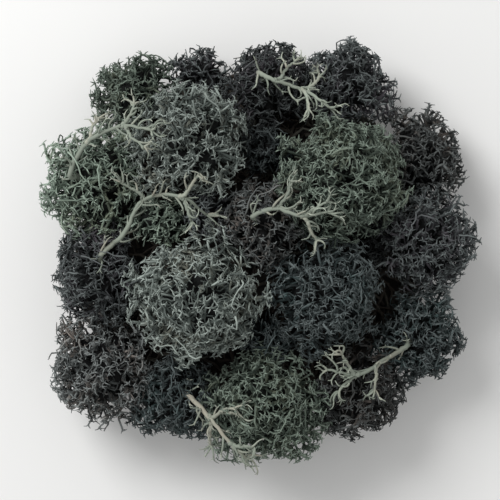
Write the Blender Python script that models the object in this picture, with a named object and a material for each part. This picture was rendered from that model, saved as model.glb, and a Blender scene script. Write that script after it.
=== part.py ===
"""A picked clump of reindeer moss: domed heads of forked branchlets on one tangle of old stems.

Metres, +Z up. The origin is the middle of the small flat spot that the clump rests on.
"""

import math
import random

import bmesh
import bpy
from mathutils import Matrix, Vector

MM = 0.001
UP = Vector((0.0, 0.0, 1.0))

# The heads' feet stand on a shallow sphere, so that the clump is domed.
DOME_RADIUS = 74.0 * MM
DOME_TOP = 23.0 * MM
DOME_CENTRE = Vector((0.0, 0.0, DOME_TOP - DOME_RADIUS))
DOME_ROUGHNESS = 2.0 * MM  # how far the tangle rises past the sphere between two heads' feet
HEAD_CLEARANCE = 1.0 * MM  # between the lowest heads and what the clump rests on

# The tangle of old stems is a flattened body with a small flat spot underneath.
TANGLE_HALF_SIZE = Vector((49.0, 52.0, 15.5)) * MM
TANGLE_CENTRE_HEIGHT = 14.0 * MM
TANGLE_ROUGHNESS = 0.025  # of its half size, in and out
OLD_STEM_COUNT = 36
OLD_STEM_RADIUS = 1.3 * MM

GAP = 0.36 * MM  # between two pieces that touch
LOBE_COUNT = 15
LOBE_DEPTH = 0.14  # of the radius, down to the furrows between a head's lobes
LOBE_HALF_ANGLE = math.radians(36.0)
FOOT_SHARE = 0.52  # of a head's radius, where it grows out of the tangle
HEIGHT_SHARE = 0.72  # of a head's radius, from its foot up to its middle
BRANCHLET_AREA = 34.0 * MM**2  # of a head's surface, under one three-tipped branchlet
HOLLOW_REACH = (0.70, 0.80)  # of the head's surface, between branchlets
CROTCH_REACH = (0.83, 0.90)  # of the head's surface, between the tips of one branchlet
TIP_REACH = (0.95, 1.04)  # of the head's surface, at the tips
JITTER = 0.05  # of a direction, sideways
STRAND_RADIUS = 0.95 * MM
STRAND_TIP_SHARE = 0.42
STRAND_LIFT = 0.2 * MM  # above the tips that a strand lies on
BRIDGE_REACH = 3.5 * MM  # a strand is stiff, so it lies as high as what is this near it
BRIDGE_SAMPLES = 6
SOCKET_DEPTH = 3.2 * MM
SOCKET_RADIUS = 1.45 * MM

# Linear colours of the dye on the heads, the strands and the old stems.
TONES = {
    "sage": (0.068, 0.083, 0.064),
    "green": (0.047, 0.072, 0.046),
    "teal": (0.036, 0.055, 0.047),
    "slate": (0.042, 0.047, 0.049),
    "ash": (0.070, 0.076, 0.074),
    "pale": (0.200, 0.215, 0.165),
    "umber": (0.034, 0.031, 0.026),
}

# Each head's middle across and along the clump, its radius and how far it stands proud, in
# millimetres, and its tone.
HEADS = {
    "head_01": (-15.5, 27.5, 16.2, 2.5, "sage"),
    "head_02": (23.5, 18.0, 17.2, 2.5, "green"),
    "head_03": (3.5, -40.5, 15.8, 2.5, "green"),
    "head_04": (-13.5, -12.0, 17.4, 2.5, "sage"),
    "head_05": (19.0, -11.5, 15.6, -2.0, "teal"),
    "head_06": (-40.0, 17.0, 14.8, 1.0, "green"),
    "head_07": (25.5, 43.0, 12.8, 0.0, "slate"),
    "head_08": (2.5, 6.5, 11.6, 0.5, "ash"),
    "head_09": (-38.5, -30.0, 15.6, 0.5, "ash"),
    "head_10": (27.5, -37.0, 12.8, 1.0, "ash"),
    "head_11": (45.5, 1.5, 14.2, 0.0, "slate"),
    "head_12": (43.5, -22.0, 13.6, -1.0, "teal"),
    "head_13": (-18.0, -38.0, 12.8, -1.5, "teal"),
    "head_14": (-38.5, -6.0, 13.8, -1.5, "slate"),
    "head_15": (5.0, 42.0, 13.2, -0.5, "slate"),
    "head_16": (-31.0, 41.0, 12.2, -1.0, "green"),
    "head_17": (45.0, 24.5, 12.4, -1.0, "ash"),
    "head_18": (4.0, 25.0, 9.4, -3.5, "teal"),
    "head_19": (31.0, 0.5, 7.6, -3.0, "slate"),
    "head_20": (4.0, -22.5, 8.8, -3.5, "teal"),
    "head_21": (-23.0, 8.0, 10.0, -3.5, "green"),
    "head_22": (-10.5, 9.5, 8.4, -3.0, "slate"),
    "head_23": (-12.0, 46.0, 8.6, -2.0, "slate"),
}

# Pale forked strands. Each starts in a head, then runs through points across the clump, in
# millimetres. Its forks leave at a point's number, and end this far from it.
STRANDS = {
    "strand_01": {
        "head": "head_06",
        "run": [(-46.0, 20.5), (-41.5, 27.0), (-33.0, 30.5), (-24.5, 30.0)],
        "forks": [(1, (2.5, 7.0)), (2, (6.0, -5.5)), (2, (3.5, 5.5))],
    },
    "strand_02": {
        "head": "head_14",
        "run": [(-37.5, -1.0), (-31.0, 5.0), (-27.0, 12.0), (-18.5, 12.5), (-10.5, 9.0)],
        "forks": [(2, (-5.5, 4.5)), (3, (5.0, 5.5)), (3, (3.0, -6.5))],
    },
    "strand_03": {
        "head": "head_15",
        "run": [(1.5, 46.0), (6.5, 42.5), (13.5, 41.0), (19.5, 36.5)],
        "forks": [(1, (5.5, 5.0)), (2, (4.5, 4.5)), (2, (1.5, -5.5))],
    },
    "strand_04": {
        "head": "head_13",
        "run": [(-16.0, -36.5), (-10.5, -41.5), (-6.0, -48.0), (-1.0, -52.5)],
        "forks": [(1, (0.5, -7.5)), (1, (7.0, 2.0)), (2, (6.0, -1.0))],
    },
    "strand_05": {
        "head": "head_08",
        "run": [(0.5, 8.5), (6.5, 10.5), (12.5, 8.0), (19.0, 9.0)],
        "forks": [(1, (3.5, 6.5)), (2, (4.0, -6.0)), (2, (6.5, 3.5))],
    },
    "strand_06": {
        "head": "head_12",
        "run": [(38.5, -25.5), (33.0, -29.0), (27.0, -31.5), (20.0, -29.5)],
        "forks": [(1, (-1.5, -7.0)), (2, (-4.5, 5.5)), (2, (-5.0, -4.5))],
    },
}


def clear_scene():
    for thing in list(bpy.data.objects):
        bpy.data.objects.remove(thing, do_unlink=True)


def dye(tone):
    """The finish of one tone, made once."""
    name = f"moss_{tone}"
    if name in bpy.data.materials:
        return bpy.data.materials[name]
    finish = bpy.data.materials.new(name)
    finish.use_nodes = True
    shader = finish.node_tree.nodes["Principled BSDF"]
    shader.inputs["Base Color"].default_value = (*TONES[tone], 1.0)
    shader.inputs["Roughness"].default_value = 0.9
    shader.inputs["Metallic"].default_value = 0.0
    return finish


def add_object(name, shape, tone):
    """An object from a bmesh, which is used up."""
    bmesh.ops.recalc_face_normals(shape, faces=shape.faces)
    if shape.calc_volume(signed=True) < 0.0:
        bmesh.ops.reverse_faces(shape, faces=shape.faces)
    mesh = bpy.data.meshes.new(name)
    shape.to_mesh(mesh)
    shape.free()
    made = bpy.data.objects.new(name, mesh)
    mesh.materials.append(dye(tone))
    bpy.context.scene.collection.objects.link(made)
    return made


def apply_boolean(body, operation, others):
    """Joins the others to the body, or cuts them from it, and removes them."""
    group = bpy.data.collections.new("repeats")
    bpy.context.scene.collection.children.link(group)
    for other in others:
        group.objects.link(other)
    cut = body.modifiers.new(operation, "BOOLEAN")
    cut.operation = operation
    cut.operand_type = "COLLECTION"
    cut.collection = group
    cut.solver = "MANIFOLD"
    graph = bpy.context.evaluated_depsgraph_get()
    fused = bpy.data.meshes.new_from_object(body.evaluated_get(graph))
    body.modifiers.clear()
    body.data = fused
    keep_outer_shell(fused)
    for other in others:
        bpy.data.objects.remove(other, do_unlink=True)
    bpy.data.collections.remove(group)


def keep_outer_shell(mesh):
    """Keeps the largest connected surface, which fills sealed hollows and drops loose scraps."""
    shape = bmesh.new()
    shape.from_mesh(mesh)
    left = set(shape.faces)
    shells = []
    while left:
        shell = []
        reached = [left.pop()]
        while reached:
            face = reached.pop()
            shell.append(face)
            shared = [edge.link_faces for edge in face.edges if len(edge.link_faces) == 2]
            joined = {other for faces in shared for other in faces} & left
            left -= joined
            reached.extend(joined)
        shells.append(shell)
    largest = max(shells, key=len)
    scraps = [face for shell in shells if shell is not largest for face in shell]
    bmesh.ops.delete(shape, geom=scraps, context="FACES")
    shape.to_mesh(mesh)
    shape.free()


def clip(shape, planes):
    """Cuts a convex-sided shape flat at each plane, given as a point and an outward normal."""
    for point, normal in planes:
        cut = bmesh.ops.bisect_plane(
            shape,
            geom=shape.verts[:] + shape.edges[:] + shape.faces[:],
            dist=1e-7,
            plane_co=point,
            plane_no=normal,
            clear_outer=True,
        )
        rim = [item for item in cut["geom_cut"] if isinstance(item, bmesh.types.BMEdge)]
        if rim:
            bmesh.ops.edgeloop_fill(shape, edges=rim)


def inside(point, planes, margin=0.0):
    return all((point - at).dot(normal) < -margin for at, normal in planes)


def even_directions(count, turn):
    """Directions spread evenly over a sphere, turned by a matrix."""
    golden = math.pi * (3.0 - math.sqrt(5.0))
    for i in range(count):
        height = 1.0 - (2.0 * i + 1.0) / count
        ring = math.sqrt(1.0 - height * height)
        yield turn @ Vector((ring * math.cos(golden * i), ring * math.sin(golden * i), height))


def random_turn(draw):
    angles = [draw.uniform(0.0, 2.0 * math.pi) for _ in range(3)]
    return (
        Matrix.Rotation(angles[0], 3, "X")
        @ Matrix.Rotation(angles[1], 3, "Y")
        @ Matrix.Rotation(angles[2], 3, "Z")
    )


class Head:
    """One domed head: where it is, how its lobes swell, and the planes that part it from others."""

    def __init__(self, name, across, along, radius, proud, tone):
        self.name = name
        self.tone = tone
        self.radius = radius * MM
        self.draw = random.Random(name)
        reach = DOME_RADIUS + HEIGHT_SHARE * self.radius + proud * MM
        side = Vector((across, along, 0.0)) * MM
        lean = side.length / reach
        self.axis = side.normalized() * lean + UP * math.sqrt(1.0 - lean * lean)
        self.centre = DOME_CENTRE + self.axis * reach
        self.foot = DOME_CENTRE + self.axis * (DOME_RADIUS + GAP / 2)
        self.lobes = list(even_directions(LOBE_COUNT, random_turn(self.draw)))
        self.planes = [(self.foot, -self.axis), (UP * HEAD_CLEARANCE, -UP)]

    def surface(self, direction):
        """How far the tips reach along a direction: the whole radius on a lobe, less in a furrow."""
        near = max(direction.dot(lobe) for lobe in self.lobes)
        furrow = math.cos(LOBE_HALF_ANGLE)
        swell = max(0.0, (near - furrow) / (1.0 - furrow)) ** 0.6
        return self.radius * (1.0 - LOBE_DEPTH * (1.0 - swell))

    def place(self, direction, share):
        """A point this share of the way to the head's surface, or down a stout stalk to its foot,
        but never past the planes that part the head from other pieces."""
        reach = share * self.surface(direction)
        down = -direction.dot(self.axis)
        if down > 0.0:
            side = math.sqrt(max(1e-9, 1.0 - down * down))
            depth = (self.centre - self.foot).length + MM
            reach = max(reach, min(depth / down, FOOT_SHARE * self.radius / side))
        for at, normal in self.planes:
            towards = direction.dot(normal)
            if towards > 1e-6:
                reach = min(reach, (at - self.centre).dot(normal) / towards)
        return self.centre + direction * reach

    def part_from(self, other):
        """Adds the plane halfway between this head's surface and the other's."""
        apart = other.centre - self.centre
        distance = apart.length
        if distance > self.radius + other.radius + 4.0 * MM:
            return
        share = (distance**2 + self.radius**2 - other.radius**2) / (2.0 * distance)
        normal = apart.normalized()
        self.planes.append((self.centre + normal * (share - GAP / 2), normal))


def plan_heads():
    heads = {name: Head(name, *plan) for name, plan in HEADS.items()}
    for head in heads.values():
        for other in heads.values():
            if other is not head:
                head.part_from(other)
    return heads


def top_height(heads, across, along):
    """Height of the highest surface, a head's or the tangle's, over a point of the plan."""
    dome = DOME_CENTRE.z + math.sqrt(DOME_RADIUS**2 - across**2 - along**2)
    heights = [dome + DOME_ROUGHNESS]
    for head in heads.values():
        side = (Vector((across, along)) - head.centre.xy).length
        if side < head.radius:
            heights.append(head.centre.z + math.sqrt(head.radius**2 - side**2))
    return max(heights)


class Strand:
    """A pale forked strand, as lines of points from its socket out over the heads."""

    def __init__(self, plan, heads):
        self.home = heads[plan["head"]]
        laid = [self.over(heads, *point) for point in plan["run"]]
        run = smooth_line(laid, 2)
        out = (laid[0] - self.home.centre).normalized()
        shell = self.home.place(out, HOLLOW_REACH[0])
        self.socket = (shell - out * SOCKET_DEPTH, out)
        self.lines = [([shell - out * (SOCKET_DEPTH - GAP), shell + out * MM, *run], 1.0)]
        for number, (across, along) in plan["forks"]:
            start = laid[number]
            end_plan = (start.x / MM + across, start.y / MM + along)
            end = self.over(heads, *end_plan) + UP * MM
            bow = (start + end) / 2 + UP * (1.3 * MM)
            self.lines.append((smooth_line([start, bow, end], 2), 0.8))

    @staticmethod
    def over(heads, across, along):
        turns = [2.0 * math.pi * i / BRIDGE_SAMPLES for i in range(BRIDGE_SAMPLES)]
        around = [(BRIDGE_REACH * math.cos(a), BRIDGE_REACH * math.sin(a)) for a in turns]
        at = (across * MM, along * MM)
        height = max(top_height(heads, at[0] + x, at[1] + y) for x, y in [(0.0, 0.0), *around])
        return Vector((across * MM, along * MM, height + STRAND_LIFT + STRAND_RADIUS))


def smooth_line(points, parts):
    """A Catmull-Rom line through the points, with this many parts to a span."""
    padded = [2 * points[0] - points[1], *points, 2 * points[-1] - points[-2]]
    line = []
    for a, b, c, d in zip(padded, padded[1:], padded[2:], padded[3:]):
        for step in range(parts):
            t = step / parts
            line.append(
                0.5 * (2 * b + (c - a) * t + (2 * a - 5 * b + 4 * c - d) * t**2
                       + (3 * b - a - 3 * c + d) * t**3)
            )
    return [*line, points[-1]]


def ring_round(point, forward, radius, sides, side_hint):
    across = forward.cross(side_hint)
    if across.length < 1e-4:
        across = forward.orthogonal()
    across.normalize()
    upward = across.cross(forward).normalized()
    turns = [2.0 * math.pi * i / sides for i in range(sides)]
    return [point + (across * math.cos(a) + upward * math.sin(a)) * radius for a in turns]


def tapered_tube(line, start_radius, end_radius, sides):
    """A closed tube along a line, which ends in a point."""
    shape = bmesh.new()
    rings = []
    last = len(line) - 1
    for i, point in enumerate(line[:-1]):
        forward = (line[i + 1] - line[max(0, i - 1)]).normalized()
        radius = start_radius + (end_radius - start_radius) * i / last
        corners = ring_round(point, forward, radius, sides, UP)
        rings.append([shape.verts.new(corner) for corner in corners])
    for low, high in zip(rings, rings[1:]):
        for i in range(sides):
            j = (i + 1) % sides
            shape.faces.new((low[i], low[j], high[j], high[i]))
    tip = shape.verts.new(line[-1])
    for i in range(sides):
        shape.faces.new((rings[-1][i], rings[-1][(i + 1) % sides], tip))
    shape.faces.new(rings[0][::-1])
    return shape


def build_head(head, strands):
    """A ball of three-tipped branchlets, raised from the triangles of an even net."""
    shape = bmesh.new()
    count = round(2.0 * math.pi * head.radius**2 / BRANCHLET_AREA)
    for direction in even_directions(count, random_turn(head.draw)):
        shape.verts.new(direction)
    bmesh.ops.convex_hull(shape, input=shape.verts[:])
    hollows = shape.verts[:]
    crotches = bmesh.ops.poke(shape, faces=shape.faces[:])["verts"]
    tips = bmesh.ops.poke(shape, faces=shape.faces[:])["verts"]
    for corners, reach in ((hollows, HOLLOW_REACH), (crotches, CROTCH_REACH), (tips, TIP_REACH)):
        for corner in corners:
            jitter = Vector([head.draw.uniform(-JITTER, JITTER) for _ in range(3)])
            direction = (corner.co.normalized() + jitter).normalized()
            corner.co = head.place(direction, head.draw.uniform(*reach))
    body = add_object(head.name, shape, head.tone)
    sockets = [socket_cutter(strand) for strand in strands if strand.home is head]
    if sockets:
        apply_boolean(body, "DIFFERENCE", sockets)


def socket_cutter(strand):
    """The plain hole that a strand stands in."""
    bottom, out = strand.socket
    shape = bmesh.new()
    ends = []
    for place in (bottom, bottom + out * (SOCKET_DEPTH + 6.0 * MM)):
        corners = ring_round(place, out, SOCKET_RADIUS, 6, UP)
        ends.append([shape.verts.new(corner) for corner in corners])
    for i in range(6):
        j = (i + 1) % 6
        shape.faces.new((ends[0][i], ends[0][j], ends[1][j], ends[1][i]))
    shape.faces.new(ends[0][::-1])
    shape.faces.new(ends[1])
    return add_object("socket", shape, "umber")


def build_strand(name, strand):
    made = []
    for line, share in strand.lines:
        thick = STRAND_RADIUS * share
        shape = tapered_tube(line, thick, thick * STRAND_TIP_SHARE, 3)
        made.append(add_object(name, shape, "pale"))
    apply_boolean(made[0], "UNION", made[1:])
    made[0].name = name


def tangle_surface(around, height_angle):
    """A point of the tangle's flattened body."""
    flat = math.cos(height_angle)
    return Vector(
        (
            TANGLE_HALF_SIZE.x * flat * math.cos(around),
            TANGLE_HALF_SIZE.y * flat * math.sin(around),
            TANGLE_CENTRE_HEIGHT + TANGLE_HALF_SIZE.z * math.sin(height_angle),
        )
    )


def old_stems(planes):
    """Bare stems that wander out and up over the tangle's underside."""
    draw = random.Random("old stems")
    for i in range(OLD_STEM_COUNT):
        around = 2.0 * math.pi * (i + draw.uniform(-0.3, 0.3)) / OLD_STEM_COUNT
        low = math.radians(draw.uniform(-51.0, -46.0))
        high = math.radians(draw.uniform(-34.0, -29.0))
        bend = draw.uniform(-0.34, 0.34)
        line = []
        for step in range(3):
            t = step / 2
            place = tangle_surface(around + bend * t * t, low + (high - low) * t)
            out = Vector((place.x, place.y, 0.0)).normalized()
            line.append(place + out * (-0.3 + 2.0 * t) * MM)
        wide = OLD_STEM_RADIUS + 0.1 * MM
        kept = [place for place in line if inside(place, planes, wide) and place.z > 1.4 * MM]
        if len(kept) == len(line):
            yield tapered_tube(line, OLD_STEM_RADIUS, 0.5 * OLD_STEM_RADIUS, 3)


def build_tangle(heads):
    planes = [(head.foot - head.axis * GAP, head.axis) for head in heads.values()]
    shape = bmesh.new()
    bmesh.ops.create_icosphere(shape, subdivisions=3, radius=1.0)
    draw = random.Random("tangle")
    for corner in shape.verts:
        rough = 1.0 + draw.uniform(-TANGLE_ROUGHNESS, TANGLE_ROUGHNESS)
        corner.co = corner.co * TANGLE_HALF_SIZE * rough + UP * TANGLE_CENTRE_HEIGHT
    clip(shape, [*planes, (Vector(), -UP)])
    body = add_object("old_stem_tangle", shape, "umber")
    made = [add_object("old_stem", stem, "umber") for stem in old_stems(planes)]
    apply_boolean(body, "UNION", made)


def main():
    clear_scene()
    heads = plan_heads()
    strands = {name: Strand(plan, heads) for name, plan in STRANDS.items()}
    build_tangle(heads)
    for head in heads.values():
        build_head(head, list(strands.values()))
    for name, strand in strands.items():
        build_strand(name, strand)


main()
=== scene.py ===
import math
import random

import bpy
import numpy as np
from mathutils import Matrix


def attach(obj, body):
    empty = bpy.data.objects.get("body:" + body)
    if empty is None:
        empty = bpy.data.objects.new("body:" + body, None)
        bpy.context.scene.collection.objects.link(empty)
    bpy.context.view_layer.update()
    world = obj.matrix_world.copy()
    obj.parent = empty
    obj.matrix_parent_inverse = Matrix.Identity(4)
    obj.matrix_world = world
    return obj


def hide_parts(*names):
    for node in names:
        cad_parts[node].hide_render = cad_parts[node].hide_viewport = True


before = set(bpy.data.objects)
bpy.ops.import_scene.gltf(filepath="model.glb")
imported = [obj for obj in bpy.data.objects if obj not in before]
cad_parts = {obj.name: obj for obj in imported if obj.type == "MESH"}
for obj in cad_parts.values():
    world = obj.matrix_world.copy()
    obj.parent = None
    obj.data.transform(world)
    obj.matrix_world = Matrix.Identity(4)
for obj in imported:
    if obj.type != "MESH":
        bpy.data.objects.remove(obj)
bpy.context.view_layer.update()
mm = 0.001
up = np.array((0.0, 0.0, 1.0))

# The clump's plan, with the same sizes and places as the solids.
clump = {
    "domeRadius": 74.0 * mm,
    "domeTop": 23.0 * mm,
    "domeRoughness": 2.0 * mm,
    "lift": 0.72,             # a head's middle stands this share of its radius above its foot
    "lobes": 15,
    "lobeDepth": 0.14,        # of the radius, from the lobes down to the furrows
    "lobeHalfAngle": math.radians(36.0),
    "lobeRound": 0.6,
    "headClearance": 1.0 * mm,
    "partReach": 4.0 * mm,    # heads this far apart or closer are parted by a plane
    "mingle": (-0.3 * mm, 2.6 * mm),    # how far branches of two heads reach past that plane
    "knit": 11.0 * mm,        # how near another head's surface a head starts to rise towards it
    "knitRise": 0.25,         # of that, how far it has risen where they touch
    "knitRounds": 2,
    "sunken": 10.0 * mm,      # a head of this radius or less lies deep between the others
    "hiddenHeight": (0.25, 0.60),       # of the radius above the tangle, alone and beside others
    "crowd": 4.0 * mm,        # how near another head is for that
    "packing": 0.866,         # of a square's area, for points spread in triangles
}
domeCentre = np.array((0.0, 0.0, clump["domeTop"] - clump["domeRadius"]))

# across, along, radius and proudness in mm, then the tone, the spacing of the net's forks
# and how pale the dye came out
headPlans = {
    "head_01": (-15.5, 27.5, 16.2, 2.5, "sage", 1.00, 1.00),
    "head_02": (23.5, 18.0, 17.2, 2.5, "green", 0.95, 0.92),
    "head_03": (3.5, -40.5, 15.8, 2.5, "green", 0.95, 0.97),
    "head_04": (-13.5, -12.0, 17.4, 2.5, "sage", 1.05, 1.10),
    "head_05": (19.0, -11.5, 15.6, -2.0, "teal", 0.95, 0.93),
    "head_06": (-40.0, 17.0, 14.8, 1.0, "green", 1.05, 1.40),
    "head_07": (25.5, 43.0, 12.8, 0.0, "slate", 0.95, 0.94),
    "head_08": (2.5, 6.5, 11.6, 0.5, "ash", 1.05, 0.85),
    "head_09": (-38.5, -30.0, 15.6, 0.5, "ash", 1.00, 1.18),
    "head_10": (27.5, -37.0, 12.8, 1.0, "ash", 1.00, 0.52),
    "head_11": (45.5, 1.5, 14.2, 0.0, "slate", 0.95, 1.00),
    "head_12": (43.5, -22.0, 13.6, -1.0, "teal", 1.00, 0.88),
    "head_13": (-18.0, -38.0, 12.8, -1.5, "teal", 0.95, 0.82),
    "head_14": (-38.5, -6.0, 13.8, -1.5, "slate", 0.95, 0.84),
    "head_15": (5.0, 42.0, 13.2, -0.5, "slate", 1.00, 0.50),
    "head_16": (-31.0, 41.0, 12.2, -1.0, "green", 1.00, 0.74),
    "head_17": (45.0, 24.5, 12.4, -1.0, "ash", 1.00, 0.66),
    "head_18": (4.0, 25.0, 9.4, -3.5, "teal", 0.95, 0.45),
    "head_19": (31.0, 0.5, 7.6, -3.0, "slate", 0.95, 0.40),
    "head_20": (4.0, -22.5, 8.8, -3.5, "teal", 0.95, 1.45),
    "head_21": (-23.0, 8.0, 10.0, -3.5, "green", 1.00, 1.50),
    "head_22": (-10.5, 9.5, 8.4, -3.0, "slate", 1.00, 1.70),
    "head_23": (-12.0, 46.0, 8.6, -2.0, "slate", 0.95, 0.80),
}


def unit(vectors):
    return vectors / np.maximum(np.linalg.norm(vectors, axis=-1, keepdims=True), 1e-12)


def dot(first, second):
    return (first * second).sum(-1, keepdims=True)


# Directions spread evenly over a sphere.
def evenDirections(count, turn):
    golden = math.pi * (3.0 - math.sqrt(5.0))
    steps = np.arange(count)
    height = 1.0 - (2.0 * steps + 1.0) / count
    ring = np.sqrt(1.0 - height**2)
    spread = np.stack((ring * np.cos(golden * steps), ring * np.sin(golden * steps), height), 1)
    return spread @ np.array(turn).T


def randomTurn(draw):
    angles = [draw.uniform(0.0, 2.0 * math.pi) for _ in range(3)]
    return (
        Matrix.Rotation(angles[0], 3, "X")
        @ Matrix.Rotation(angles[1], 3, "Y")
        @ Matrix.Rotation(angles[2], 3, "Z")
    )


# Two directions across each of some directions, at right angles to each other.
def sidesOf(directions):
    steep = np.abs(directions[..., 2:]) > 0.8       # too near upright to be crossed with up
    hint = np.where(steep, np.array((1.0, 0.0, 0.0)), up)
    across = unit(np.cross(directions, hint))
    return across, np.cross(directions, across)


bowLead = 0.45      # of its length, how far a branch heads the way that it sets out


# Quadratic curves from starts, which they leave along their directions, to ends.
def bowed(starts, leaving, ends, rng, bow, stations):
    length = np.linalg.norm(ends - starts, axis=1, keepdims=True)
    control = starts + leaving * length * bowLead + rng.normal(0.0, bow, starts.shape) * length
    t = np.linspace(0.0, 1.0, stations)[None, :, None]
    first, middle, last = (1 - t) ** 2, 2 * (1 - t) * t, t**2
    paths = first * starts[:, None] + middle * control[:, None] + last * ends[:, None]
    return paths, unit(ends - control)


# A piece's branches, gathered as arrays and then made into one mesh.
class Growth:
    def __init__(self):
        self.points, self.rise, self.tint = [], [], []
        self.faces = []
        self.count = 0

    def add(self, points, rise, tint):
        self.points.append(points)
        self.rise.append(rise)
        self.tint.append(tint)
        self.count += len(points)

    # paths is (tubes, stations, 3) and tint is (tubes,). girths and rise are spread over
    # (tubes, stations), so one value or one row of them will do.
    def tubes(self, paths, girths, rise, tint, sides):
        tubes, stations, _ = paths.shape
        girths = np.broadcast_to(girths, (tubes, stations))
        rise = np.broadcast_to(rise, (tubes, stations))
        forward = unit(np.gradient(paths, axis=1))
        across = np.empty_like(forward)
        across[:, 0] = sidesOf(forward[:, 0])[0]
        for at in range(1, stations):
            before, ahead = across[:, at - 1], forward[:, at]
            across[:, at] = unit(before - ahead * dot(before, ahead))
        upward = np.cross(forward, across)
        turns = 2.0 * math.pi * np.arange(sides) / sides
        cosine, sine = np.cos(turns)[:, None], np.sin(turns)[:, None]
        ring = across[:, :, None] * cosine + upward[:, :, None] * sine
        points = paths[:, :, None] + ring * girths[:, :, None, None]

        corner = np.arange(sides)
        first = self.count + np.arange(tubes)[:, None, None] * stations * sides
        low = first + np.arange(stations - 1)[None, :, None] * sides
        after = low + (corner + 1) % sides
        here = low + corner
        self.faces.append(np.stack((here, after, after + sides, here + sides), -1).reshape(-1, 4))
        self.faces.append(first[:, 0] + corner[::-1])
        self.faces.append(first[:, 0] + (stations - 1) * sides + corner)
        self.add(points.reshape(-1, 3), np.repeat(rise, sides, 1).ravel(),
                 np.repeat(tint, stations * sides))

    # A closed form of one middling tint, whose reach from its middle is known in any direction.
    def ball(self, centre, reach, rise, rings):
        around = 2 * rings
        tilt = np.pi * np.arange(1, rings)[:, None] / rings
        turn = 2.0 * np.pi * np.arange(around)[None, :] / around
        flat = np.sin(tilt)
        rows = np.stack((flat * np.cos(turn), flat * np.sin(turn), np.cos(tilt) + 0.0 * turn), -1)
        directions = np.concatenate((rows.reshape(-1, 3), [up, -up]))
        points = centre + directions * reach(directions)[:, None]
        low = self.count + np.arange(rings - 2)[:, None] * around
        here, after = low + np.arange(around), low + (np.arange(around) + 1) % around
        self.faces.append(np.stack((here, here + around, after + around, after), -1).reshape(-1, 4))
        top = np.full(around, self.count + (rings - 1) * around)
        here, after = self.count + np.arange(around), self.count + (np.arange(around) + 1) % around
        last = (rings - 2) * around
        self.faces.append(np.stack((top, here, after), -1))
        self.faces.append(np.stack((top + 1, after + last, here + last), -1))
        self.add(points, np.full(len(points), rise), np.full(len(points), 0.5))

    def build(self, name, finish, paleness=1.0):
        places = np.concatenate(self.points)
        places[:, 2] = np.maximum(places[:, 2], 0.0)     # what touches the ground lies flat on it
        corners = np.concatenate([faces.ravel() for faces in self.faces])
        sizes = np.concatenate([np.full(len(faces), faces.shape[1]) for faces in self.faces])
        mesh = bpy.data.meshes.new(name)
        mesh.vertices.add(len(places))
        mesh.vertices.foreach_set("co", places.astype(np.float32).ravel())
        mesh.loops.add(len(corners))
        mesh.loops.foreach_set("vertex_index", corners.astype(np.int32))
        mesh.polygons.add(len(sizes))
        mesh.polygons.foreach_set("loop_start", (np.cumsum(sizes) - sizes).astype(np.int32))
        pale = [np.full(len(places), paleness)]
        for label, values in {"rise": self.rise, "tint": self.tint, "paleness": pale}.items():
            layer = mesh.attributes.new(label, "FLOAT", "POINT")
            layer.data.foreach_set("value", np.concatenate(values).astype(np.float32))
        mesh.update(calc_edges=True)
        mesh.shade_smooth()
        mesh.materials.append(finish)
        piece = bpy.data.objects.new(name, mesh)
        bpy.context.scene.collection.objects.link(piece)
        print(name, trianglesOf(piece), "triangles")
        return piece


def trianglesOf(piece):
    return len(piece.data.loops) - 2 * len(piece.data.polygons)


# A socket that adds Math nodes when it meets an operator.
class Wire:
    def __init__(self, finish, socket):
        self.finish, self.socket = finish, socket

    def maths(self, operation, first, second):
        return self.finish.node("ShaderNodeMath", {"operation": operation}, {0: first, 1: second})

    def __add__(self, other):
        return self.maths("ADD", self, other)

    def __sub__(self, other):
        return self.maths("SUBTRACT", self, other)

    def __rsub__(self, other):
        return self.maths("SUBTRACT", other, self)

    def __mul__(self, other):
        return self.maths("MULTIPLY", self, other)

    __radd__ = __add__
    __rmul__ = __mul__


# A material and the nodes that make it.
class Finish:
    def __init__(self, name):
        self.material = bpy.data.materials.new(name)
        self.material.use_nodes = True
        self.tree = self.material.node_tree
        self.shader = self.tree.nodes["Principled BSDF"]

    def node(self, kind, settings, sockets, output=0):
        node = self.tree.nodes.new(kind)
        for label, setting in settings.items():
            if label == "stops":
                self.setStops(node.color_ramp, setting)
            else:
                setattr(node, label, setting)
        self.feed(node, sockets)
        return Wire(self, node.outputs[output])

    @staticmethod
    def setStops(ramp, stops):
        while len(ramp.elements) < len(stops):
            ramp.elements.new(0.5)
        for element, (place, colour) in zip(ramp.elements, stops):
            element.position = place
            element.color = (*colour, 1.0)

    def feed(self, node, sockets):
        for label, value in sockets.items():
            socket = node.inputs[label]
            if isinstance(value, Wire):
                self.tree.links.new(value.socket, socket)
            elif isinstance(value, tuple) and len(value) == 3 and socket.type == "RGBA":
                socket.default_value = (*value, 1.0)
            else:
                socket.default_value = value

    def attribute(self, label):
        return self.node("ShaderNodeAttribute", {"attribute_name": label}, {}, "Fac")

    def noise(self, scale, detail=2.0):
        place = self.node("ShaderNodeTexCoord", {}, {}, "Object")
        sockets = {"Vector": place, "Scale": scale, "Detail": detail}
        return self.node("ShaderNodeTexNoise", {}, sockets)

    def ramp(self, factor, stops):
        return self.node("ShaderNodeValToRGB", {"stops": stops}, {0: factor})

    def mix(self, factor, first, second, blend="MIX"):
        settings = {"data_type": "RGBA", "blend_type": blend}
        return self.node("ShaderNodeMix", settings, {0: factor, 6: first, 7: second}, 2)

    def bump(self, height, strength, distance):
        sockets = {"Height": height, "Strength": strength, "Distance": distance}
        return self.node("ShaderNodeBump", {}, sockets)


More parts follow.
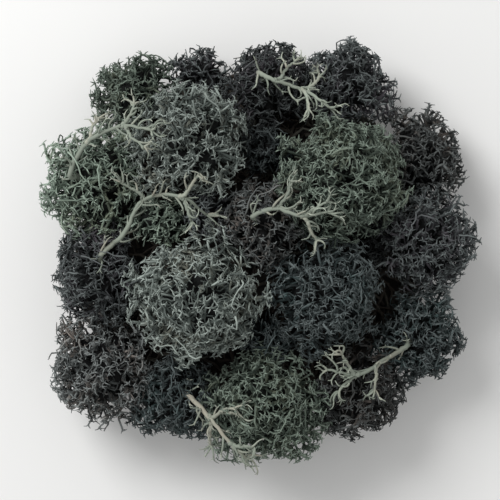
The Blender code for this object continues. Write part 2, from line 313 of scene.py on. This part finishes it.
# The dyed finishes, with painted shade in their darkest colours. Each has its colour deep in the
# clump, partly the darker old base and partly painted shade, along the branches and at the tips, then
# the stray colour of its patches. The core's colour, darker still, is painted shade. A point's level
# is its rise from the middle, 0, painted darkest, to the tips, 1, shifted a little by its branch's own
# tint and by the grain.
dyesAndShade = {
    "coreShadeShare": 0.3,         # of the deep colour, on the core as painted shade
    # Levels of the painted-shade core colour and of the deep colour, which is part darker old base and
    # part painted shade.
    "coreShadeLevel": 0.10,
    "deepBaseAndShadeLevel": 0.30,
    "branchLevels": (0.62, 0.86),
    "strayLevel": 0.90,
    "tintShift": 0.16,
    "grainShift": 0.12,
    "tintShade": 0.5,         # from the darkest branch to the palest
    "patchScale": 95.0,
    "patchTint": 0.25,        # how much single branches stray, and not whole patches
    "patchEdges": (0.47, 0.72),
    "grainScale": 1400.0,
    "roughness": 0.92,
    "grainGloss": 0.14,       # less rough by this on the grain's high spots
    "specular": 0.25,
    "bump": 0.5,
    "bumpHeight": 0.06 * mm,
    "tones": {
        "sage": ((0.024, 0.028, 0.027), (0.108, 0.129, 0.118),
                 (0.259, 0.297, 0.273), (0.184, 0.190, 0.156)),
        "green": ((0.018, 0.023, 0.020), (0.075, 0.099, 0.079),
                  (0.196, 0.243, 0.200), (0.148, 0.168, 0.122)),
        "teal": ((0.011, 0.014, 0.015), (0.046, 0.058, 0.059),
                 (0.120, 0.143, 0.143), (0.072, 0.111, 0.110)),
        "slate": ((0.014, 0.016, 0.017), (0.049, 0.056, 0.057),
                  (0.124, 0.141, 0.140), (0.122, 0.110, 0.126)),
        "ash": ((0.016, 0.017, 0.018), (0.059, 0.065, 0.064),
                (0.156, 0.170, 0.167), (0.162, 0.139, 0.123)),
        "pale": ((0.060, 0.068, 0.058), (0.255, 0.290, 0.240),
                 (0.380, 0.415, 0.350), (0.285, 0.272, 0.222)),
        "umber": ((0.007, 0.006, 0.005), (0.036, 0.030, 0.024),
                  (0.100, 0.084, 0.066), (0.060, 0.066, 0.056)),
    },
}


def makeFinish(tone):
    deep, branch, tip, stray = dyesAndShade["tones"][tone]
    core = tuple(part * dyesAndShade["coreShadeShare"] for part in deep)
    finish = Finish(tone)
    rise, tint = finish.attribute("rise"), finish.attribute("tint")
    paleness = finish.attribute("paleness")
    patch, grain = finish.noise(dyesAndShade["patchScale"]), finish.noise(dyesAndShade["grainScale"])
    level = rise + (tint - 0.5) * dyesAndShade["tintShift"] + (grain - 0.5) * dyesAndShade["grainShift"]

    # The core's colour and the deep colour are painted shade in the clump's middle; the deep one is
    # partly the darker old base too.
    darkBaseAndShade = [(dyesAndShade["coreShadeLevel"], core), (dyesAndShade["deepBaseAndShadeLevel"], deep)]
    along = [(place, branch) for place in dyesAndShade["branchLevels"]]
    colour = finish.ramp(level, [*darkBaseAndShade, *along, (1.0, tip)])
    spread = patch * (1.0 - dyesAndShade["patchTint"]) + tint * dyesAndShade["patchTint"]
    outside, inside = dyesAndShade["patchEdges"]
    patchy = finish.ramp(spread, [(outside, (0.0, 0.0, 0.0)), (inside, (1.0, 1.0, 1.0))])
    strayed = finish.ramp(level, [*darkBaseAndShade, (dyesAndShade["strayLevel"], stray), (1.0, tip)])
    colour = finish.mix(patchy, colour, strayed)

    shade = (tint * dyesAndShade["tintShade"] + (1.0 - dyesAndShade["tintShade"] / 2.0)) * paleness
    grey = finish.node("ShaderNodeCombineColor", {}, {0: shade, 1: shade, 2: shade})
    colour = finish.mix(1.0, colour, grey, "MULTIPLY")
    finish.feed(finish.shader, {
        "Base Color": colour,
        "Roughness": dyesAndShade["roughness"] - grain * dyesAndShade["grainGloss"],
        "Normal": finish.bump(grain, dyesAndShade["bump"], dyesAndShade["bumpHeight"]),
        "Specular IOR Level": dyesAndShade["specular"],
    })
    return finish.material


# Swells and pits in space, so that heads aren't round and neighbours rise and sink together.
swells = {
    "lengths": (19.0 * mm, 15.0 * mm, 12.0 * mm, 9.5 * mm),
    "seed": 11,
    "height": 1.5 * mm,
    "most": 2.0,              # usual deviations, up or down
    "sink": 0.7,              # of that height, lower everywhere
    "pitLengths": (10.0 * mm, 8.0 * mm, 6.5 * mm),
    "pitSeed": 12,
    "pitStart": 1.0,          # how many usual deviations out of the way before there is a pit
    "pitDepth": 3.0 * mm,
    "perLength": 4,           # waves of each length, in directions of their own
}


# A smooth random field that varies over about these lengths, with a usual deviation of 1.
def makeField(lengths, seed):
    rng = np.random.default_rng(seed)
    lengths = np.repeat(lengths, swells["perLength"])
    waves = unit(rng.normal(0.0, 1.0, (len(lengths), 3))) * (2.0 * math.pi / lengths)[:, None]
    phases = rng.uniform(0.0, 2.0 * math.pi, len(lengths))
    return lambda points: np.sin(points @ waves.T + phases).sum(1) / math.sqrt(len(lengths) / 2.0)


swell = makeField(swells["lengths"], swells["seed"])
pit = makeField(swells["pitLengths"], swells["pitSeed"])


def unevenness(points):
    swollen = np.clip(swell(points), -swells["most"], swells["most"])
    pitted = np.clip(pit(points) - swells["pitStart"], 0.0, 1.0)
    return swells["height"] * (swollen - swells["sink"]) - swells["pitDepth"] * pitted


# How high some directions lie on round lobes, from 0 in the furrows to 1 on top.
def swellOf(directions, lobes, halfAngle):
    furrow = math.cos(halfAngle)
    near = (directions @ lobes.T).max(1)
    return np.clip((near - furrow) / (1.0 - furrow), 0.0, 1.0) ** clump["lobeRound"]


# The way from a middle along each direction, no further than some planes.
def reachWithin(centre, directions, far, planes, past=0.0):
    for at, normal in planes:
        towards = directions @ normal
        facing = towards > 1e-6
        stop = ((at - centre) @ normal + past) / np.where(facing, towards, 1.0)
        far = np.where(facing, np.minimum(far, stop), far)
    return far


# The small knobs that the last forks make all over a head.
knob = {
    "size": 2.6 * mm,         # the radius of the sphere that has the area of one knob
    "spread": 1.25,           # of the half angle at which their areas cover the head
    "depth": {
        "sage": 2.6 * mm,
        "green": 1.8 * mm,
        "teal": 1.8 * mm,
        "slate": 2.2 * mm,
        "ash": 2.4 * mm,
    },
}


# A head's place, how far it reaches, and the planes that part it from its neighbours.
class Head:
    def __init__(self, name, across, along, radius, proud, tone, fineness, paleness):
        self.name, self.tone, self.fineness, self.paleness = name, tone, fineness, paleness
        self.radius = radius * mm
        self.draw = random.Random(name)
        self.rng = np.random.default_rng(int(name[-2:]))
        far = clump["domeRadius"] + clump["lift"] * self.radius + proud * mm
        side = np.array((across, along, 0.0)) * mm
        lean = np.linalg.norm(side) / far
        self.axis = unit(side) * lean + up * math.sqrt(1.0 - lean * lean)
        self.centre = domeCentre + self.axis * far
        self.foot = domeCentre + self.axis * clump["domeRadius"]
        self.lobes = evenDirections(clump["lobes"], randomTurn(self.draw))
        knobs = round(self.radius**2 / knob["size"] ** 2)
        self.knobs = evenDirections(knobs, randomTurn(self.draw))
        self.knobHalfAngle = math.acos(1.0 - 2.0 / knobs) * knob["spread"]
        self.knobDepth = knob["depth"][tone]
        self.sunken = self.radius <= clump["sunken"]
        self.rests = [(self.foot, -self.axis), (up * clump["headClearance"], -up)]
        self.partings = []
        self.neighbours = []

    def partFrom(self, other):
        apart = other.centre - self.centre
        distance = np.linalg.norm(apart)
        if distance > self.radius + other.radius + clump["partReach"]:
            return
        share = (distance**2 + self.radius**2 - other.radius**2) / (2.0 * distance)
        normal = apart / distance
        self.partings.append((self.centre + normal * share, normal))
        self.neighbours.append(other)

    # The lobes, with their knobs.
    def surface(self, directions):
        lobes = swellOf(directions, self.lobes, clump["lobeHalfAngle"])
        knobs = swellOf(directions, self.knobs, self.knobHalfAngle)
        far = self.radius * (1.0 - clump["lobeDepth"] * (1.0 - lobes))
        far = far - self.knobDepth * (1.0 - knobs)
        return far + unevenness(self.centre + directions * self.radius)

    # How far some points are from the nearest of some heads.
    @staticmethod
    def gaps(points, heads):
        apart = [np.linalg.norm(points - head.centre, axis=1) - head.radius for head in heads]
        return np.min(apart, 0)

    # Where two heads meet, the crease between them is partly grown over.
    def knitted(self, directions):
        bare = self.surface(directions)
        others = [other for other in self.neighbours if not other.sunken]
        if self.sunken or not others:
            return bare
        far = bare
        for _ in range(clump["knitRounds"]):
            points = self.centre + directions * far[:, None]
            near = np.clip(1.0 - self.gaps(points, others) / clump["knit"], 0.0, 1.0)
            far = bare + clump["knit"] * clump["knitRise"] * near**2
        return far

    # Directions that face only the tangle or the underside of a neighbour.
    def hidden(self, directions):
        points = self.centre + directions * self.radius
        height = np.linalg.norm(points - domeCentre, axis=1) - clump["domeRadius"]
        crowded = self.gaps(points, self.neighbours) < clump["crowd"]
        alone, beside = clump["hiddenHeight"]
        return height < self.radius * np.where(crowded, beside, alone)

    # How far branches grow, each with its own way past the planes between heads.
    def reach(self, directions):
        past = self.rng.uniform(*clump["mingle"], len(directions))
        knitted = self.knitted(directions)
        far = reachWithin(self.centre, directions, knitted, self.partings, past)
        return reachWithin(self.centre, directions, far, self.rests)

    # From 0 at the middle to 1 at the surface.
    def riseOf(self, points):
        apart = points.reshape(-1, 3) - self.centre
        far = np.linalg.norm(apart, axis=1)
        return (far / self.knitted(unit(apart))).reshape(points.shape[:-1])

    # Directions this far apart at the surface.
    def spread(self, spacing):
        count = int(4.0 * math.pi * self.radius**2 / (clump["packing"] * spacing**2))
        return evenDirections(count, randomTurn(self.draw))


def planHeads():
    heads = {name: Head(name, *plan) for name, plan in headPlans.items()}
    for head in heads.values():
        for other in heads.values():
            if other is not head:
                head.partFrom(other)
    return heads


# The net of branches in a head, from its middle out to the last forks.
net = {
    "spacing": (8.5 * mm, 5.4 * mm, 3.4 * mm, 2.15 * mm),   # between forks, at the surface
    "share": (0.36, 0.58, 0.78, 0.93),                      # of the way out
    "pressed": (0.50, 0.50, 0.66, 0.74),    # shorter than this share of the radius, nothing grows
    "girth": (0.66 * mm, 0.54 * mm, 0.44 * mm, 0.36 * mm, 0.29 * mm),
    "sides": (4, 4, 4, 3),
    "tips": ((0, 0), (0, 0), (2, 3), (3, 4)),
    "firstSeen": 1,           # the first level whose branches reach the core's surface
    "firstFine": 2,           # the first level that needn't grow where it is hidden
    "jitter": 0.30,           # of the spacing
    "unevenness": 0.05,       # of the way out
    "bow": 0.20,              # of a branch's length
    "core": 0.58,             # of the way out, the mass of old branches, coloured near black as painted shade
    "coreRise": 0.0,
    "coreRings": 18,
    "stations": 4,
}
tips = {
    "length": (0.8 * mm, 1.7 * mm),
    "outward": (0.1, 0.9),
    "turn": 0.3,              # radians, out of an even whorl
    "neckShare": 0.90,        # of the girth of the branch's end, at a tip's start
    "middleShare": 0.66,
    "girth": 0.09 * mm,
    "bow": 0.15,
    "sides": 3,
}
wisps = {
    "area": 90.0 * mm**2,     # of a head's outer half, for each wisp
    "spread": 0.6,            # how far round the head they lie
    "length": (3.5 * mm, 10.0 * mm),
    "lift": 0.1 * mm,
    "girth": 0.26 * mm,
    "tipGirth": 0.11 * mm,
    "stations": 8,
    "waver": 0.34 * mm,
    "sides": 4,
    "rise": 0.92,
}
stubs = {
    "spacing": 2.3 * mm,      # on the core
    "length": (2.2 * mm, 4.8 * mm),
    "lean": 0.6,
    "girth": (0.34 * mm, 0.16 * mm),
    "bow": 0.25,
    "stations": 3,
    "sides": 3,
}


# Forks at each level join the nearest fork of the level below.
def growNet(head, growth):
    forks, leaving = head.centre[None], head.axis[None]
    for level, (spacing, share) in enumerate(zip(net["spacing"], net["share"])):
        spacing = spacing * head.fineness
        spread = head.spread(spacing)
        jitter = net["jitter"] * spacing / head.radius
        directions = unit(spread + head.rng.normal(0.0, jitter, spread.shape))
        far = head.reach(directions)
        kept = far > net["pressed"][level] * head.radius
        if level >= net["firstFine"]:
            kept &= ~head.hidden(directions)
        directions, far = directions[kept], far[kept]
        shares = share + head.rng.normal(0.0, net["unevenness"], len(far))
        ends = head.centre + directions * (far * shares)[:, None]
        nearest = np.linalg.norm(ends[:, None] - forks[None], axis=2).argmin(1)
        paths, onward = bowed(forks[nearest], leaving[nearest], ends, head.rng,
                              net["bow"], net["stations"])
        girths = np.linspace(net["girth"][level], net["girth"][level + 1], net["stations"])
        if level >= net["firstSeen"]:
            growth.tubes(paths, girths, head.riseOf(paths), head.rng.random(len(ends)),
                         net["sides"][level])
        forks, leaving = ends, onward
        if net["tips"][level][1]:
            growTips(head, growth, ends, directions, level)


# A whorl of short pointed tips round the end of each branch.
def growTips(head, growth, ends, directions, level):
    across, onward = sidesOf(directions)
    turn = head.rng.uniform(0.0, 2.0 * math.pi, len(ends))
    fewest, most = net["tips"][level]
    number = head.rng.integers(fewest, most + 1, len(ends))
    branch = net["girth"][level + 1]
    girths = (branch * tips["neckShare"], branch * tips["middleShare"], tips["girth"])
    for tip in range(most):
        has = tip < number
        stray = head.rng.normal(0.0, tips["turn"], len(ends))
        angle = (turn + 2.0 * math.pi * tip / number + stray)[has, None]
        sideways = across[has] * np.cos(angle) + onward[has] * np.sin(angle)
        length = head.rng.uniform(*tips["length"], (has.sum(), 1))
        outward = head.rng.uniform(*tips["outward"], (has.sum(), 1))
        lean = unit(sideways + directions[has] * outward)
        points = ends[has] + lean * length
        paths, _ = bowed(ends[has], directions[has], points, head.rng, tips["bow"], len(girths))
        growth.tubes(paths, girths, head.riseOf(paths), head.rng.random(len(points)),
                     tips["sides"])


# Stray threads that lie over the tips.
def growWisps(head, growth):
    count = int(2.0 * math.pi * head.radius**2 / wisps["area"])
    middle = unit(head.axis + head.rng.normal(0.0, wisps["spread"], (count, 3)))
    heading = unit(np.cross(middle, head.rng.normal(0.0, 1.0, (count, 3))))
    length = head.rng.uniform(*wisps["length"], (count, 1, 1))
    along = np.linspace(-0.5, 0.5, wisps["stations"])[None, :, None] * length / head.radius
    directions = middle[:, None] * np.cos(along) + heading[:, None] * np.sin(along)
    everyWay = directions.reshape(-1, 3)
    walls = reachWithin(head.centre, everyWay, np.inf, head.partings + head.rests)
    far = np.minimum(head.knitted(everyWay), walls).reshape(count, -1, 1)
    paths = head.centre + directions * (far + wisps["lift"])
    paths = paths + np.cumsum(head.rng.normal(0.0, wisps["waver"], paths.shape), 1)
    girths = np.linspace(wisps["girth"], wisps["tipGirth"], wisps["stations"])
    growth.tubes(paths, girths, wisps["rise"], head.rng.random(count), wisps["sides"])


# Short old branches all over the core, so that it is nowhere smooth.
def growStubs(head, growth):
    directions = head.spread(stubs["spacing"] / net["core"])
    starts = head.centre + directions * (head.reach(directions) * net["core"])[:, None]
    lean = unit(directions + head.rng.normal(0.0, stubs["lean"], directions.shape))
    ends = starts + lean * head.rng.uniform(*stubs["length"], (len(starts), 1))
    paths, _ = bowed(starts, directions, ends, head.rng, stubs["bow"], stubs["stations"])
    girths = np.linspace(*stubs["girth"], stubs["stations"])
    growth.tubes(paths, girths, head.riseOf(paths), head.rng.random(len(ends)), stubs["sides"])


def buildHead(head, finishes):
    growth = Growth()
    # The core ball takes the darkest colour, painted shade inside the head.
    growth.ball(head.centre, lambda directions: head.reach(directions) * net["core"],
                net["coreRise"], net["coreRings"])
    growNet(head, growth)
    growWisps(head, growth)
    growStubs(head, growth)
    return growth.build("net_of_" + head.name, finishes[head.tone], head.paleness)


# Head, the points of its main line and its forks, across and along in mm, as on the solids.
strandPlans = {
    "strand_01": ("head_06", [(-46.0, 20.5), (-41.5, 27.0), (-33.0, 30.5), (-24.5, 30.0)],
                  [(1, (2.5, 7.0)), (2, (6.0, -5.5)), (2, (3.5, 5.5))]),
    "strand_02": ("head_14", [(-37.5, -1.0), (-31.0, 5.0), (-27.0, 12.0), (-18.5, 12.5), (-10.5, 9.0)],
                  [(2, (-5.5, 4.5)), (3, (5.0, 5.5)), (3, (3.0, -6.5))]),
    "strand_03": ("head_15", [(1.5, 46.0), (6.5, 42.5), (13.5, 41.0), (19.5, 36.5)],
                  [(1, (5.5, 5.0)), (2, (4.5, 4.5)), (2, (1.5, -5.5))]),
    "strand_04": ("head_13", [(-16.0, -36.5), (-10.5, -41.5), (-6.0, -48.0), (-1.0, -52.5)],
                  [(1, (0.5, -7.5)), (1, (7.0, 2.0)), (2, (6.0, -1.0))]),
    "strand_05": ("head_08", [(0.5, 8.5), (6.5, 10.5), (12.5, 8.0), (19.0, 9.0)],
                  [(1, (3.5, 6.5)), (2, (4.0, -6.0)), (2, (6.5, 3.5))]),
    "strand_06": ("head_12", [(38.5, -25.5), (33.0, -29.0), (27.0, -31.5), (20.0, -29.5)],
                  [(1, (-1.5, -7.0)), (2, (-4.5, 5.5)), (2, (-5.0, -4.5))]),
}
strand = {
    "seed": 100,
    "girth": 0.84 * mm,
    "girthStray": (0.90, 1.12),
    "tipShare": 0.40,         # of the girth, at the end of a line
    "forkShare": 0.72,
    "lift": 0.2 * mm,         # the middle of a strand above the tips that it lies on
    "bridge": 3.5 * mm,       # a strand is stiff, so it lies as high as what is this near it
    "bridgeSamples": 6,
    "stray": 0.45 * mm,
    "rootShare": 0.70,        # of the way out of its head, where it is rooted
    "rootDepth": 2.8 * mm,
    "rootStep": 1.0 * mm,
    "rootSink": 2.6 * mm,     # how deep in the tips it turns over
    "rootShadeRise": 0.30,         # how pale it is at its root, darkened there as painted shade where it goes into the moss, further on and at its end
    "rise": 0.80,
    "endRise": 1.9,
    "endSink": 1.4 * mm,      # how far the ends hang from there
    "forkLean": 0.7,          # how much a fork starts along the strand
    "forkRun": 1.8 * mm,
    "bowRise": 0.5 * mm,
    "parts": 7,               # between two points of a line
    "waver": 0.10 * mm,
    "sides": 8,
}
twigs = {
    "step": 2.2 * mm,         # along a strand
    "stray": 0.8 * mm,
    "last": 0.97,             # of the strand's length
    "endTips": 4,
    "length": (1.4 * mm, 5.0 * mm),
    "upward": 0.6,            # how much they spread up and down, of how much sideways
    "forward": 0.9,
    "girth": 0.34 * mm,
    "tipShare": 0.60,
    "bow": 0.22,
    "stations": 5,
    "sides": 5,
    "rise": 0.82,
}
twigForks = {
    "aside": 0.8,
    "length": (0.8 * mm, 1.8 * mm),
    "girthShare": 0.58,       # of the twig's
    "bow": 0.1,
    "stations": 4,
    "sides": 4,
    "rise": 0.90,
}


# How high the heads' tops are, or the dome of old stems between them.
def topHeight(heads, across, along):
    flat = across**2 + along**2
    height = domeCentre[2] + math.sqrt(clump["domeRadius"]**2 - flat) + clump["domeRoughness"]
    for head in heads.values():
        aside = (across - head.centre[0]) ** 2 + (along - head.centre[1]) ** 2
        if aside < head.radius**2:
            height = max(height, head.centre[2] + math.sqrt(head.radius**2 - aside))
    return height


# Where a strand lies over the heads.
def over(heads, across, along):
    height = topHeight(heads, across, along)
    for sample in range(strand["bridgeSamples"]):
        angle = 2.0 * math.pi * sample / strand["bridgeSamples"]
        aside = across + strand["bridge"] * math.cos(angle)
        ahead = along + strand["bridge"] * math.sin(angle)
        height = max(height, topHeight(heads, aside, ahead))
    return np.array((across, along, height + strand["lift"]))


# A smooth line through some points.
def smoothLine(points, parts):
    points = np.array(points)
    first, last = 2.0 * points[:1] - points[1:2], 2.0 * points[-1:] - points[-2:-1]
    padded = np.concatenate((first, points, last))
    line = []
    for before, start, end, after in zip(padded, padded[1:], padded[2:], padded[3:]):
        for t in np.arange(parts) / parts:
            line.append(0.5 * (2.0 * start + (end - before) * t
                               + (2.0 * before - 5.0 * start + 4.0 * end - after) * t**2
                               + (3.0 * start - before - 3.0 * end + after) * t**3))
    return np.array([*line, points[-1]])


# The points of a strand's main line, which comes up out of its head, and of its forks. Each
# has its share of the strand's girth and how pale it starts.
def strandLines(plan, heads, rng):
    home, run, forks = plan
    laid = [over(heads, across * mm, along * mm) for across, along in run]
    laid = [point + rng.normal(0.0, strand["stray"], 3) for point in laid]
    out = unit(laid[0] - heads[home].centre)
    laid[0] = laid[0] - out * strand["rootSink"]
    laid[-1] = laid[-1] - up * strand["endSink"]
    shell = heads[home].centre + out * heads[home].reach(out[None]) * strand["rootShare"]
    root = [shell - out * strand["rootDepth"], shell + out * strand["rootStep"]]
    lines = [([*root, *laid], 1.0, strand["rootShadeRise"])]
    for number, (across, along) in forks:
        start = laid[number]
        end = over(heads, start[0] + across * mm, start[1] + along * mm) - up * strand["endSink"]
        onward = unit(laid[number + 1] - laid[number - 1])
        leaving = start + unit(unit(end - start) + onward * strand["forkLean"]) * strand["forkRun"]
        bow = (leaving + end) / 2.0 + up * strand["bowRise"] + rng.normal(0.0, strand["stray"], 3)
        lines.append(([start, leaving, bow, end], strand["forkShare"], strand["rise"]))
    return lines


def buildStrand(name, heads, finishes):
    rng = np.random.default_rng(strand["seed"] + int(name[-2:]))
    growth = Growth()
    for points, share, firstRise in strandLines(strandPlans[name], heads, rng):
        line = smoothLine(points, strand["parts"])
        line = line + rng.normal(0.0, strand["waver"], line.shape)
        girth = strand["girth"] * share
        girths = np.linspace(girth, girth * strand["tipShare"], len(line))
        girths = girths * rng.uniform(*strand["girthStray"], len(line))
        rise = np.minimum(np.linspace(firstRise, strand["endRise"], len(line)), strand["rise"])
        growth.tubes(line[None], girths, rise, rng.random(1), strand["sides"])
        growTwigs(line, growth, rng, share)
    return growth.build("forked_" + name, finishes["pale"])


# Short side twigs along a strand, each forked at its end, and a spray of them where it ends.
def growTwigs(line, growth, rng, share):
    steps = np.linalg.norm(np.diff(line, axis=0), axis=1)
    length = steps.sum()
    spots = np.arange(twigs["step"], length, twigs["step"])
    spots = spots + rng.uniform(-1.0, 1.0, len(spots)) * twigs["stray"]
    starts = np.searchsorted(np.cumsum(steps), np.minimum(spots, length * twigs["last"]))
    starts = np.concatenate((starts, [len(line) - 1] * twigs["endTips"]))
    forward = unit(np.gradient(line, axis=0))[starts]
    across, upward = sidesOf(forward)
    angle = rng.uniform(0.0, 2.0 * math.pi, (len(starts), 1))
    sideways = across * np.cos(angle) + upward * np.sin(angle) * twigs["upward"]
    lean = unit(sideways + forward * twigs["forward"])
    ends = line[starts] + lean * rng.uniform(*twigs["length"], (len(starts), 1)) * share
    paths, leaving = bowed(line[starts], lean, ends, rng, twigs["bow"], twigs["stations"])
    girths = np.linspace(twigs["girth"], twigs["girth"] * twigs["tipShare"], twigs["stations"])
    growth.tubes(paths, girths, twigs["rise"], rng.random(len(ends)), twigs["sides"])
    for side in (-1.0, 1.0):
        forkTwigs(ends, leaving, side, growth, rng)


def forkTwigs(ends, leaving, side, growth, rng):
    across, upward = sidesOf(leaving)
    turned = rng.uniform(0.0, math.pi, (len(ends), 1))
    aside = (across * np.cos(turned) + upward * np.sin(turned)) * side
    length = rng.uniform(*twigForks["length"], (len(ends), 1))
    points = ends + (leaving + aside * twigForks["aside"]) * length
    paths, _ = bowed(ends, leaving, points, rng, twigForks["bow"], twigForks["stations"])
    girth = twigs["girth"] * twigForks["girthShare"]
    girths = np.linspace(girth, tips["girth"], twigForks["stations"])
    growth.tubes(paths, girths, twigForks["rise"], rng.random(len(points)), twigForks["sides"])


# The bare old stems under the heads.
tangle = {
    "seed": 200,
    "halfSize": np.array((49.0, 52.0, 15.5)) * mm,
    "centreHeight": 14.0 * mm,
    "core": 0.94,             # of its reach
    # The core's rise gives it the near-black deep umber, partly the old stems' dark brown and partly
    # painted shade.
    "coreRise": 0.35,
    "coreRings": 40,
    "stems": 1100,
    "underShare": 0.6,        # of the stems, those spread over the underside
    "length": (8.0 * mm, 24.0 * mm),
    "girth": (0.28 * mm, 0.70 * mm),
    "tipShare": 0.5,
    "bedding": 0.9,           # of its girth, how high a stem's middle lies on the ground
    "stations": 9,
    "curl": 0.38,             # how much a stem turns aside at each station
    "lift": (-0.5 * mm, 1.6 * mm),
    "waver": 0.12 * mm,
    "looseShare": 0.3,        # of the stems, those that come away from the tangle
    "drift": (0.1 * mm, 0.75 * mm),    # how far at each station
    "sides": 5,
    "rise": 0.80,
}


def tangleReach(heads):
    centre = up * tangle["centreHeight"]
    planes = [(head.foot, head.axis) for head in heads.values()] + [(up * 0.0, -up)]

    def reach(directions):
        far = 1.0 / np.linalg.norm(directions / tangle["halfSize"], axis=1)
        return reachWithin(centre, directions, far, planes)

    return centre, reach


# Where stems start, from the tangle's middle. The first of them lie evenly on its underside.
def stemStarts(rng):
    place = unit(rng.normal(0.0, 1.0, (tangle["stems"], 3)))
    under = int(tangle["stems"] * tangle["underShare"])
    around, aside = rng.uniform(0.0, 2.0 * math.pi, under), np.sqrt(rng.random(under))
    down = -np.sqrt(1.0 - aside**2)
    place[:under] = np.stack((aside * np.cos(around), aside * np.sin(around), down), 1)
    return place * tangle["halfSize"]


# Stems wander over the tangle, and the loose ones drift away from it.
def stemPaths(centre, reach, rng):
    place = stemStarts(rng)
    count = len(place)
    heading = unit(rng.normal(0.0, 1.0, (count, 3)))
    step = rng.uniform(*tangle["length"], (count, 1)) / (tangle["stations"] - 1)
    lift = rng.uniform(*tangle["lift"], count)
    loose = rng.random(count) < tangle["looseShare"]
    drift = np.where(loose, rng.uniform(*tangle["drift"], count), 0.0)
    paths = []
    for _ in range(tangle["stations"]):
        directions = unit(place)
        far = reach(directions)
        paths.append(centre + directions * (far + lift)[:, None])
        outward = unit(place / tangle["halfSize"]**2)
        heading = unit(heading + rng.normal(0.0, tangle["curl"], (count, 3)))
        heading = unit(heading - outward * dot(heading, outward))
        place = directions * far[:, None] + heading * step
        lift = lift + drift + rng.normal(0.0, tangle["waver"], count)
    return np.stack(paths, 1)


def buildTangle(heads, finishes):
    rng = np.random.default_rng(tangle["seed"])
    centre, reach = tangleReach(heads)
    growth = Growth()
    # The tangle's core ball, near black, is partly the old stems' own colour and partly painted shade.
    growth.ball(centre, lambda directions: reach(directions) * tangle["core"],
                tangle["coreRise"], tangle["coreRings"])
    paths = stemPaths(centre, reach, rng)
    girths = rng.uniform(*tangle["girth"], (len(paths), 1))
    girths = girths * np.linspace(1.0, tangle["tipShare"], tangle["stations"])[None]
    paths[..., 2] = np.maximum(paths[..., 2], girths * tangle["bedding"])
    growth.tubes(paths, girths, tangle["rise"], rng.random(len(paths)), tangle["sides"])
    return growth.build("old_stems", finishes["umber"])


# Each piece stands for one solid of the frame.
def seat(piece, node):
    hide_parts(node)
    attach(piece, "root")
    return piece


def buildClump():
    finishes = {tone: makeFinish(tone) for tone in dyesAndShade["tones"]}
    heads = planHeads()
    pieces = [seat(buildHead(head, finishes), name) for name, head in heads.items()]
    pieces += [seat(buildStrand(name, heads, finishes), name) for name in strandPlans]
    pieces += [seat(buildTangle(heads, finishes), "old_stem_tangle")]
    print("clump grown,", sum(trianglesOf(piece) for piece in pieces), "triangles")


studio = {
    "floorSize": 16.0,
    "floorColour": (0.80, 0.80, 0.79),
    "floorPatches": (0.75, 0.75, 0.74),
    "patchShare": 0.1,
    "patchScale": 40.0,
    "floorRoughness": 0.9,
    "skyColour": (1.0, 1.0, 1.0),
    "skyStrength": 0.62,
    "keyPlace": (-0.35, 0.35, 0.55),
    "keySize": 0.35,
    "keyPower": 4.0,
    "lens": 150.0,
    "clipStart": 0.01,
    "cameraHeight": 0.56,
    "aim": (0.0, 0.0),        # straight down on the clump's middle
}


def layFloor():
    half = studio["floorSize"] / 2.0
    corners = [(-half, -half, 0.0), (half, -half, 0.0), (half, half, 0.0), (-half, half, 0.0)]
    mesh = bpy.data.meshes.new("floor")
    mesh.from_pydata(corners, [], [(0, 1, 2, 3)])
    finish = Finish("floor")
    patches = finish.noise(studio["patchScale"]) * studio["patchShare"]
    finish.feed(finish.shader, {
        "Base Color": finish.mix(patches, studio["floorColour"], studio["floorPatches"]),
        "Roughness": studio["floorRoughness"],
    })
    mesh.materials.append(finish.material)
    floor = bpy.data.objects.new("floor", mesh)
    bpy.context.scene.collection.objects.link(floor)


def lightStudio():
    world = bpy.data.worlds.new("studio")
    bpy.context.scene.world = world
    world.use_nodes = True
    sky = world.node_tree.nodes["Background"]
    sky.inputs["Color"].default_value = (*studio["skyColour"], 1.0)
    sky.inputs["Strength"].default_value = studio["skyStrength"]
    key = bpy.data.lights.new("key", "AREA")
    key.size = studio["keySize"]
    key.energy = studio["keyPower"]
    lamp = bpy.data.objects.new("key", key)
    lamp.location = studio["keyPlace"]
    lamp.rotation_euler = lamp.location.to_track_quat("Z", "Y").to_euler()     # at the clump
    bpy.context.scene.collection.objects.link(lamp)


def placeCamera():
    camera = bpy.data.cameras.new("camera")
    camera.lens = studio["lens"]
    camera.clip_start = studio["clipStart"]
    holder = bpy.data.objects.new("camera", camera)
    holder.location = (*studio["aim"], studio["cameraHeight"])
    bpy.context.scene.collection.objects.link(holder)
    bpy.context.scene.camera = holder
    bpy.context.scene.view_settings.view_transform = "Standard"


buildClump()
layFloor()
lightStudio()
placeCamera()
print("studio set")
